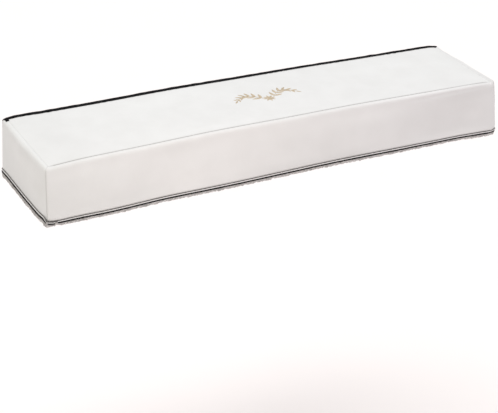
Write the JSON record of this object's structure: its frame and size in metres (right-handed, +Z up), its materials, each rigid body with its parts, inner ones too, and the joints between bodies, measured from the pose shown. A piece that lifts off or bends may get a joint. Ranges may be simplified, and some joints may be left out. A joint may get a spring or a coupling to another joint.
{
  "type": "keyboard dust cover",
  "caption": "Long, low box of soft pale cloth, open below, with a black band along the back of its top, a slot behind the band, and a striped braid with hanging loops round the hem.",
  "frame": {"origin": "middle of the underside of the top panel, where the thing under the cover holds it up", "axes": "+X runs along the cover to the right, +Y to the back where the black band is, and +Z up"},
  "size_m": [1.3699, 0.3293, 0.192],
  "materials": {
    "cover_cloth": "soft matt short-napped cloth in warm white",
    "black_tape": "matt black woven tape",
    "braid_yarn": "woven braid striped in grey, silver white and black, with looped edge"
  },
  "bodies": {
    "root": {"top_panel": "cover_cloth", "front_panel": "cover_cloth", "left_end_panel": "cover_cloth", "right_end_panel": "cover_cloth", "back_panel": "cover_cloth", "back_band": "black_tape", "hem_braid": "braid_yarn"}
  },
  "joints": []
}
